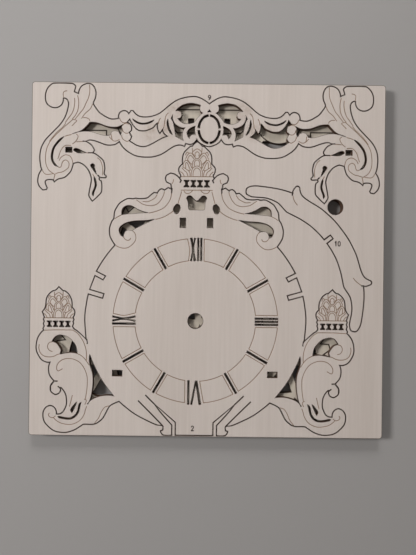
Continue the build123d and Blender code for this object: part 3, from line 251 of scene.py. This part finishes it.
# Half a pine cone's scored scales, from the middle of the line that it stands on.
CONE_COLUMN = [
    [(-2.9, 0.0), (-2.9, 1.9), (-2.6, 3.3), (-1.8, 4.7), (0.0, 5.5)],
    [(-2.0, 0.0), (-1.9, 2.3), (-1.3, 3.7), (0.0, 4.5)],
    [(-2.4, 4.4), (-2.3, 6.9), (-1.8, 8.2), (-1.0, 9.0), (0.0, 9.4)],
    [(-1.3, 5.6), (-1.4, 6.9), (-1.0, 8.0), (0.0, 8.6)],
    [(-0.9, 9.6), (-1.5, 10.8), (-2.4, 12.3), (-1.6, 13.4), (0.0, 14.3)],
    [(-0.9, 10.6), (-1.1, 11.7), (-0.7, 12.4), (0.0, 12.8)],
]
CONE_SIDE = [
    [(-2.5, 14.6), (-2.4, 12.6)],
    [(-5.9, 8.9), (-5.1, 10.8), (-4.2, 11.8), (-3.3, 12.1), (-2.3, 11.4), (-1.1, 9.8)],
    [(-4.9, 8.6), (-4.3, 10.2), (-3.3, 10.8), (-2.3, 10.0), (-1.7, 9.2)],
    [(-4.9, 8.6), (-3.9, 7.4), (-2.6, 6.3)],
    [(-5.9, 11.0), (-5.2, 12.6), (-4.3, 12.0)],
    [(-7.2, 4.9), (-6.9, 6.9), (-6.3, 7.9), (-5.5, 8.4), (-4.5, 7.7), (-3.5, 6.3), (-2.7, 4.4)],
    [(-5.8, 4.2), (-5.9, 6.5), (-5.3, 7.3), (-4.5, 6.1), (-3.9, 4.5), (-3.3, 3.3)],
    [(-7.2, 4.9), (-5.7, 3.9), (-4.3, 3.1), (-3.3, 3.3)],
    [(-7.7, 4.4), (-6.5, 3.1), (-5.3, 2.1), (-4.5, 0.0)],
    [(-4.3, 3.1), (-3.6, 1.9), (-3.5, 0.0)],
    [(-8.5, 2.5), (-7.2, 1.5), (-6.4, 0.0)],
    [(-8.1, 0.0), (0.0, 0.0)],
]


def pine_cone(middle, size):
    """The scales of a pine cone of this size that stands on this point."""
    both = [half + [(-x, y) for x, y in half[-2::-1]] for half in CONE_COLUMN]
    both += mirrored(CONE_SIDE, 0)
    return [[(middle[0] + size * x, middle[1] + size * y) for x, y in line] for line in both]


# How far the scored cells stay from the middle of each hour, from the ring's inside out:
# on the side before the hour, then on the side after it.
PLAIN_GAPS = ((1.75, 1.75), (1.75, 1.75))
NUMERAL_GAPS = {
    0: ((4.2, 3.6, 4.9), (4.6, 4.6)),
    3: ((3.5, 3.5), (3.3, 3.3)),
    6: ((2.9, 5.1), (5.5, 5.5)),
    9: ((3.7, 3.7), (4.2, 2.7, 3.8)),
}

# Scored lines of the side arm.
ARM_LINES = [
    [(48.1, 37.3), (48.5, 35.5), (49.3, 33.6), (50.7, 31.7)],
    [(82.8, -9.2), (84.0, -10.7), (86.7, -12.9), (88.0, -13.5)],
]

# Strokes of each digit, from the left end of the line that it stands on.
DIGITS = {
    "0": [[(0.2, 1.3), (0.3, 2.2), (0.8, 2.6), (1.3, 2.2), (1.4, 1.3), (1.3, 0.4), (0.8, 0.0),
           (0.3, 0.4), (0.2, 1.3)]],
    "1": [[(0.2, 2.1), (0.7, 2.6)], [(0.7, 2.6), (0.7, 0.0)]],
    "2": [[(0.2, 2.0), (0.4, 2.5), (0.9, 2.6), (1.4, 2.2), (1.3, 1.6), (0.8, 0.9), (0.2, 0.0)],
          [(0.2, 0.0), (1.5, 0.0)]],
    "9": [[(1.4, 1.7), (1.1, 1.2), (0.6, 1.2), (0.2, 1.7), (0.4, 2.4), (0.9, 2.6), (1.4, 2.2),
           (1.4, 1.5), (1.1, 0.6), (0.5, 0.0)]],
}


def number(word, middle):
    """Strokes of a plain number that stands at this place."""
    left = middle[0] - DIGIT_STEP * len(word) / 2
    foot = middle[1] - DIGIT_HEIGHT / 2
    return [
        [(left + DIGIT_STEP * place + x, foot + y) for x, y in stroke]
        for place, digit in enumerate(word)
        for stroke in DIGITS[digit]
    ]


def on_dial(turn, out, aside):
    """A point this far out along an hour's line and this far to the side before it."""
    t = math.radians(turn)
    return (
        HUB[0] + out * math.cos(t) - aside * math.sin(t),
        HUB[1] + out * math.sin(t) + aside * math.cos(t),
    )


def chapter_ring():
    """The scored cells between the hours: their sides, and the arcs that join these."""
    out = []
    inner, outer = RING
    for hour in range(12):
        turn, following = 90 - 30 * hour, 60 - 30 * hour
        after = NUMERAL_GAPS.get(hour, PLAIN_GAPS)[1]
        before = NUMERAL_GAPS.get((hour + 1) % 12, PLAIN_GAPS)[0]
        for side, gaps, way in ((turn, after, -1), (following, before, 1)):
            line = []
            for place, gap in enumerate(gaps):
                radius = inner + (outer - inner) * place / (len(gaps) - 1)
                line.append(on_dial(side, math.sqrt(radius**2 - gap**2), way * gap))
            out.append(line)
        for radius, first, last in ((inner, after[0], before[0]), (outer, after[-1], before[-1])):
            start = turn - math.degrees(math.asin(first / radius))
            end = following + math.degrees(math.asin(last / radius))
            out.append(arc(HUB, radius, start, end))
    return out


LINES = {
    "crest": mirrored(CREST_LEFT, CREST_AXIS),
    "dial_plate": mirrored(DIAL_LEFT, DIAL_AXIS)
    + mirrored(pine_cone(SIDE_CONE, SIDE_CONE_SIZE), DIAL_AXIS)
    + pine_cone(TOP_CONE, TOP_CONE_SIZE)
    + chapter_ring(),
    "side_arm": ARM_LINES,
}
MARKS = {
    "dial_plate": number("2", (-7.2, -95.3)),
    "side_arm": number("10", (73.8, 10.1)),
    "top_sheet_frame": number("9", (0.3, 92.0)),
}


def unit(run):
    """The run's direction."""
    return run / max(np.linalg.norm(run), TINY)


def units(runs):
    """The direction of each run."""
    return runs / np.maximum(np.linalg.norm(runs, axis=1, keepdims=True), TINY)


def smoothed(loop):
    """The closed edge with its gentle corners rounded, and never far from its own sides."""
    pts = np.array(loop)
    ahead = np.roll(pts, -1, 0) - pts
    length = np.linalg.norm(ahead, axis=1)
    way = ahead / length[:, None]
    before = np.roll(way, 1, 0)
    turn = np.degrees(np.arccos(np.clip((way * before).sum(1), -1, 1)))
    soft = turn < SMOOTH_TURN
    along = units(ahead + np.roll(ahead, 1, 0))
    out = []
    for i in range(len(pts)):
        j = (i + 1) % len(pts)
        out.append(tuple(pts[i]))
        if not (soft[i] or soft[j]) or length[i] < SHORT_SIDE:
            continue
        start = along[i] if soft[i] else 2 * way[i] * (way[i] @ along[j]) - along[j]
        end = along[j] if soft[j] else 2 * way[i] * (way[i] @ along[i]) - along[i]
        across = np.array([-way[i][1], way[i][0]])
        steps = LONG_STEPS if length[i] > LONG_SIDE else SHORT_STEPS
        for k in range(1, steps):
            t = k / steps
            leaving = t * (1 - t) ** 2 * (start @ across)
            arriving = t * t * (1 - t) * (end @ across)
            rise = max(-BULGE, min(BULGE, length[i] * (leaving - arriving)))
            out.append(tuple(pts[i] + ahead[i] * t + across * rise))
    return out


def flared(loop):
    """A collar's slot: wide at both ends, with a narrow waist."""
    pts = np.array(loop)
    middle = (pts.max(0) + pts.min(0)) / 2
    wide, tall = np.ptp(pts, axis=0) / 2
    shape = SLOT_SIDE + [(-x, -y) for x, y in SLOT_SIDE]
    return [(middle[0] + wide * x, middle[1] + tall * y) for x, y in shape]


def loops_at(node, height):
    """Closed edges of a node's flat face at this height, with the wood on their left."""
    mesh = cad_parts[node].data
    edges = set()
    for face in mesh.polygons:
        corners = [mesh.vertices[i].co / MM for i in face.vertices]
        if all(abs(c.z - height) < LEVEL for c in corners):
            keys = [(round(c.x, 4), round(c.y, 4)) for c in corners]
            edges.update(zip(keys, keys[1:] + keys[:1]))
    following = {a: b for a, b in edges if (b, a) not in edges}
    loops = []
    while following:
        start, point = following.popitem()
        loop = [start]
        while point != start and point in following:
            loop.append(point)
            point = following.pop(point)
        if len(loop) > 2:
            slot = len(loop) == SLOT_CORNERS and np.ptp(loop, axis=0).max() < SLOT_REACH
            loops.append(flared(loop) if slot else smoothed(loop))
    return loops


def segments(lines):
    """The ends of every straight run of the lines."""
    pairs = [pair for line in lines for pair in zip(line, line[1:])]
    return np.array(pairs, float).reshape(-1, 2, 2)


def distances(points, segments):
    """Distance of each point to the nearest segment, where that is under REACH."""
    best = np.full(len(points), 1e3)
    if not len(segments):
        return best
    low, high = segments.min(1) - REACH, segments.max(1) + REACH
    cells = np.floor(points / CELL)
    for cell in np.unique(cells, axis=0):
        here = (cells == cell).all(1)
        near = (low < (cell + 1) * CELL).all(1) & (high > cell * CELL).all(1)
        if not near.any():
            continue
        a = segments[near, 0]
        run = segments[near, 1] - a
        p = points[here, None, :]
        t = np.clip(((p - a) * run).sum(2) / np.maximum((run**2).sum(1), 1e-12), 0, 1)
        gap = p - (a + t[..., None] * run)
        best[here] = np.sqrt((gap**2).sum(2).min(1))
    return best


def inside(points, segments):
    """Which points the closed edges go round."""
    hit = np.zeros(len(points), int)
    rows = np.floor(points[:, 1] / CELL)
    heights = segments[..., 1]
    for row in np.unique(rows):
        here = rows == row
        near = (heights.min(1) < (row + 1) * CELL) & (heights.max(1) > row * CELL)
        p = points[here, None, :]
        a, b = segments[None, near, 0], segments[None, near, 1]
        over = (a[..., 1] > p[..., 1]) != (b[..., 1] > p[..., 1])
        rise = np.where(over, b[..., 1] - a[..., 1], 1.0)
        x = a[..., 0] + (p[..., 1] - a[..., 1]) * (b[..., 0] - a[..., 0]) / rise
        hit[here] = (over & (p[..., 0] < x)).sum(1)
    return hit % 2 == 1


def shifted(line, offset):
    """The line moved to its left by this much."""
    pts = np.array(line)
    run = units(np.gradient(pts, axis=0))
    return pts + offset * np.stack([-run[:, 1], run[:, 0]], 1)


def stroke(line, half):
    """The outline of a stroke of this half width along the line, pointed at both ends."""
    tail = line[0] - half * unit(line[1] - line[0])
    head = line[-1] + half * unit(line[-1] - line[-2])
    return [tail, *shifted(line, -half), head, *shifted(line, half)[::-1]]


def inset(loop, offset):
    """The closed loop moved into the wood by this much."""
    pts = np.array(loop)
    ahead = units(np.roll(pts, -1, 0) - pts)
    normal = np.stack([-ahead[:, 1], ahead[:, 0]], 1)
    before = np.roll(normal, 1, 0)
    share = np.maximum(1 + (normal * before).sum(1, keepdims=True), 0.5)
    return pts + offset * (normal + before) / share


def plan(loops, lines, marks):
    """Points and triangles with edges along the cuts, the ends of the burns and the strokes."""
    points, edges = [], []

    def add(chain, closed):
        first = len(points)
        points.extend(Vector((float(x), float(y))) for x, y in chain)
        edges.extend((i, i + 1) for i in range(first, len(points) - 1))
        if closed:
            edges.append((len(points) - 1, first))

    for loop in loops:
        add(loop, True)
        add(inset(loop, SCORCH), True)
    for group, width in ((lines, SCORE_WIDTH), (marks, MARK_WIDTH)):
        for line in group:
            add(line, False)
            add(stroke(line, width / 2), True)
    made = delaunay_2d_cdt(points, edges, [], 0, MERGE)
    return np.array([tuple(v) for v in made[0]]), np.array([tuple(f) for f in made[2]])


def fields(flat, faces, rim, lines, marks):
    """How burnt each corner of each face is, and how deep each point lies in a scored line."""
    centres = flat[faces].mean(1)
    scored, marked = segments(lines), segments(marks)
    near_rim = distances(centres, rim) < SCORCH
    near_mark = distances(centres, marked) < MARK_WIDTH / 2
    near_score = distances(centres, scored) < SCORE_WIDTH / 2
    burnt = np.clip(1 - distances(flat, rim) / SCORCH, 0, 1)
    burnt = np.maximum(burnt, np.clip(2 - 4 * distances(flat, marked) / MARK_WIDTH, 0, 1))
    groove = np.clip(1 - distances(flat, scored) / (SCORE_WIDTH / 2), 0, 1)
    groove[faces[~near_score].ravel()] = 0
    return np.where((near_rim | near_mark)[:, None], burnt[faces], 0), groove


def sheet_piece(node, low, high, lines, marks):
    """A piece of ply with burnt edges and scored lines, in the place of its plain node."""
    loops = loops_at(node, high)
    rim = segments([loop + loop[:1] for loop in loops])
    flat, faces = plan(loops, lines, marks)
    faces = faces[inside(flat[faces].mean(1), rim)]
    burnt, groove = fields(flat, faces, rim, lines, marks)
    count = len(flat)
    top = np.column_stack([flat, high - SCORE_DEPTH * groove])
    under = np.column_stack([flat, np.full(count, low)])
    rounds = [zip(face, face[1:] + face[:1]) for face in faces.tolist()]
    sides = dict.fromkeys(side for way in rounds for side in way)
    walls = [(a, b) for a, b in sides if (b, a) not in sides]
    polygons = faces.tolist() + (faces[:, ::-1] + count).tolist()
    polygons += [(b, a, a + count, b + count) for a, b in walls]
    mesh = bpy.data.meshes.new(node + "_wood")
    mesh.from_pydata((np.vstack([top, under]) * MM).tolist(), [], polygons)
    corners = {
        "burnt": np.vstack([burnt, burnt[:, ::-1]]),
        "score": np.vstack([groove[faces], np.zeros(faces.shape)]),
    }
    for name, values in corners.items():
        field = mesh.attributes.new(name, "FLOAT", "CORNER")
        values = np.concatenate([values.ravel(), np.zeros(4 * len(walls))])
        field.data.foreach_set("value", values.astype(np.float32))
    slots = np.repeat([0, 1], [2 * len(faces), len(walls)]).astype(np.int32)
    mesh.polygons.foreach_set("material_index", slots)
    piece = bpy.data.objects.new(node + "_wood", mesh)
    bpy.context.scene.collection.objects.link(piece)
    return piece


class Material:
    """A new material, with short ways to add and join its nodes."""

    def __init__(self, name, roughness):
        self.made = bpy.data.materials.new(name)
        self.made.use_nodes = True
        self.nodes = self.made.node_tree.nodes
        self.links = self.made.node_tree.links
        self.shader = self.nodes["Principled BSDF"]
        self.shader.inputs["Roughness"].default_value = roughness

    def add(self, kind, inputs, **settings):
        """A node whose inputs are given as values, or as the outputs that they follow."""
        node = self.nodes.new(kind)
        for name, value in settings.items():
            setattr(node, name, value)
        for name, value in inputs.items():
            if isinstance(value, bpy.types.NodeSocket):
                self.links.new(value, node.inputs[name])
            else:
                node.inputs[name].default_value = value
        return node

    def place(self):
        """Where a point lies on the object."""
        return self.add("ShaderNodeTexCoord", {}).outputs["Object"]

    def noise(self, scale, detail):
        """Noise with these scales along X, Y and Z."""
        stretched = self.add("ShaderNodeMapping", {"Vector": self.place(), "Scale": scale})
        inputs = {"Vector": stretched.outputs["Vector"], "Scale": 1.0, "Detail": detail}
        return self.add("ShaderNodeTexNoise", inputs).outputs["Fac"]

    def spread(self, value, low, high, top=1.0, curve="LINEAR"):
        """The value, spread so that low gives nothing and high gives top."""
        inputs = {"Value": value, "From Min": low, "From Max": high, "To Max": top}
        node = self.add("ShaderNodeMapRange", inputs, interpolation_type=curve)
        return node.outputs["Result"]

    def joined(self, operation, first, second):
        """Two values joined by a mathematical operation."""
        return self.add("ShaderNodeMath", {0: first, 1: second}, operation=operation).outputs[0]

    def ramp(self, value, colours, places=(0.0, 1.0)):
        """The value as a colour between two colours."""
        node = self.add("ShaderNodeValToRGB", {"Fac": value})
        for element, colour, at in zip(node.color_ramp.elements, colours, places):
            element.position = at
            element.color = (*colour, 1)
        return node.outputs["Color"]

    def tinted(self, colour, tint, share):
        """The colour with this share of the tint laid over it."""
        inputs = {"Factor": share, 6: colour, 7: (*tint, 1)}
        return self.add("ShaderNodeMix", inputs, data_type="RGBA").outputs[2]


def smoke(material, middles):
    """How strongly the laser's smoke has browned the wood round these points."""
    near = None
    for x, y in middles:
        inputs = {0: material.place(), 1: (x * MM, y * MM, HIGH * MM)}
        away = material.add("ShaderNodeVectorMath", inputs, operation="DISTANCE")
        fade = material.spread(away.outputs["Value"], SMOKE_REACH * MM, 0.0, curve="SMOOTHSTEP")
        near = fade if near is None else material.joined("MAXIMUM", near, fade)
    patches = material.spread(material.noise(SMOKE_PATCHES, 2), *SMOKE_RANGE, SMOKE_STRENGTH)
    return material.joined("MULTIPLY", near, patches)


def wood(name, pale, dark, smoked=()):
    """Basswood ply: fine streaks along the sheet, burnt at its edges and scored lines."""
    material = Material(name, PLY_ROUGHNESS)
    fine = material.noise(FINE_GRAIN, 4)
    inputs = {"Factor": BROAD_SHARE, "A": fine, "B": material.noise(BROAD_GRAIN, 3)}
    grain = material.add("ShaderNodeMix", inputs, data_type="FLOAT")
    colour = material.ramp(grain.outputs["Result"], (dark, pale), GRAIN_RANGE)
    if smoked:
        colour = material.tinted(colour, SMOKE_COLOUR, smoke(material, smoked))
    for field, (burn, low, high) in BURNS.items():
        value = material.add("ShaderNodeAttribute", {}, attribute_name=field).outputs["Fac"]
        colour = material.tinted(colour, burn, material.spread(value, low, high))
    material.links.new(colour, material.shader.inputs["Base Color"])
    inputs = {"Strength": BUMP_STRENGTH, "Distance": BUMP_DISTANCE, "Height": fine}
    bump = material.add("ShaderNodeBump", inputs)
    material.links.new(bump.outputs["Normal"], material.shader.inputs["Normal"])
    return material.made


def charred(name):
    """The walls of the cuts: dark, and streaked from top to bottom."""
    material = Material(name, WALL_ROUGHNESS)
    colour = material.ramp(material.noise(WALL_STREAKS, 2), CUT_WALL)
    material.links.new(colour, material.shader.inputs["Base Color"])
    return material.made


def surface():
    """A plain pale table under the sheets."""
    material = Material("table", TABLE_ROUGHNESS)
    material.shader.inputs["Base Color"].default_value = (*TABLE, 1)
    bpy.ops.mesh.primitive_plane_add(size=TABLE_SIZE, location=(0, 0, -TABLE_DROP))
    table = bpy.context.object
    table.data.materials.append(material.made)


def lamp(name, place, target, power, size, spread):
    """A square lamp that points at its target."""
    light = bpy.data.lights.new(name, "AREA")
    light.energy = power
    light.size = size
    light.spread = math.radians(spread)
    holder = bpy.data.objects.new(name, light)
    bpy.context.scene.collection.objects.link(holder)
    holder.location = place
    way = Vector(target) - Vector(place)
    holder.rotation_euler = way.to_track_quat("-Z", "Y").to_euler()


def room():
    """An even, faint light from all sides."""
    world = bpy.data.worlds.new("room")
    bpy.context.scene.world = world
    world.use_nodes = True
    background = world.node_tree.nodes["Background"]
    background.inputs["Color"].default_value = (*ROOM_COLOUR, 1)
    background.inputs["Strength"].default_value = ROOM_STRENGTH


def photo_camera():
    """The camera, where the photograph was taken from."""
    camera = bpy.data.cameras.new("photo")
    camera.sensor_fit = "VERTICAL"
    camera.angle = math.radians(CAMERA_FIELD)
    camera.clip_start = CAMERA_CLIP
    holder = bpy.data.objects.new("photo", camera)
    bpy.context.scene.collection.objects.link(holder)
    holder.location = CAMERA_PLACE
    holder.rotation_euler = Euler((0, 0, math.radians(CAMERA_TURN)))
    bpy.context.scene.camera = holder


top_wood = wood("top_ply", *TOP_PLY, TASSELS)
# The lower sheet's wood carries painted shade: the same ply, coloured darker.
shaded_lower_wood = wood("lower_ply", *SHADED_LOWER_PLY)
wall = charred("burnt_wall")
for node in sorted(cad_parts):
    upper = node in UPPER
    low, high = (MIDDLE, HIGH) if upper else (LOW, MIDDLE)
    lines = [spline(line) for line in LINES.get(node, [])]
    marks = [spline(line) for line in MARKS.get(node, [])]
    piece = sheet_piece(node, low, high, lines, marks)
    piece.data.materials.append(top_wood if upper else shaded_lower_wood)
    piece.data.materials.append(wall)
    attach(piece, node)
    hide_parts(node)

surface()
for name, settings in LAMPS.items():
    lamp(name, *settings)
room()
photo_camera()
bpy.context.scene.view_settings.view_transform = "Standard"
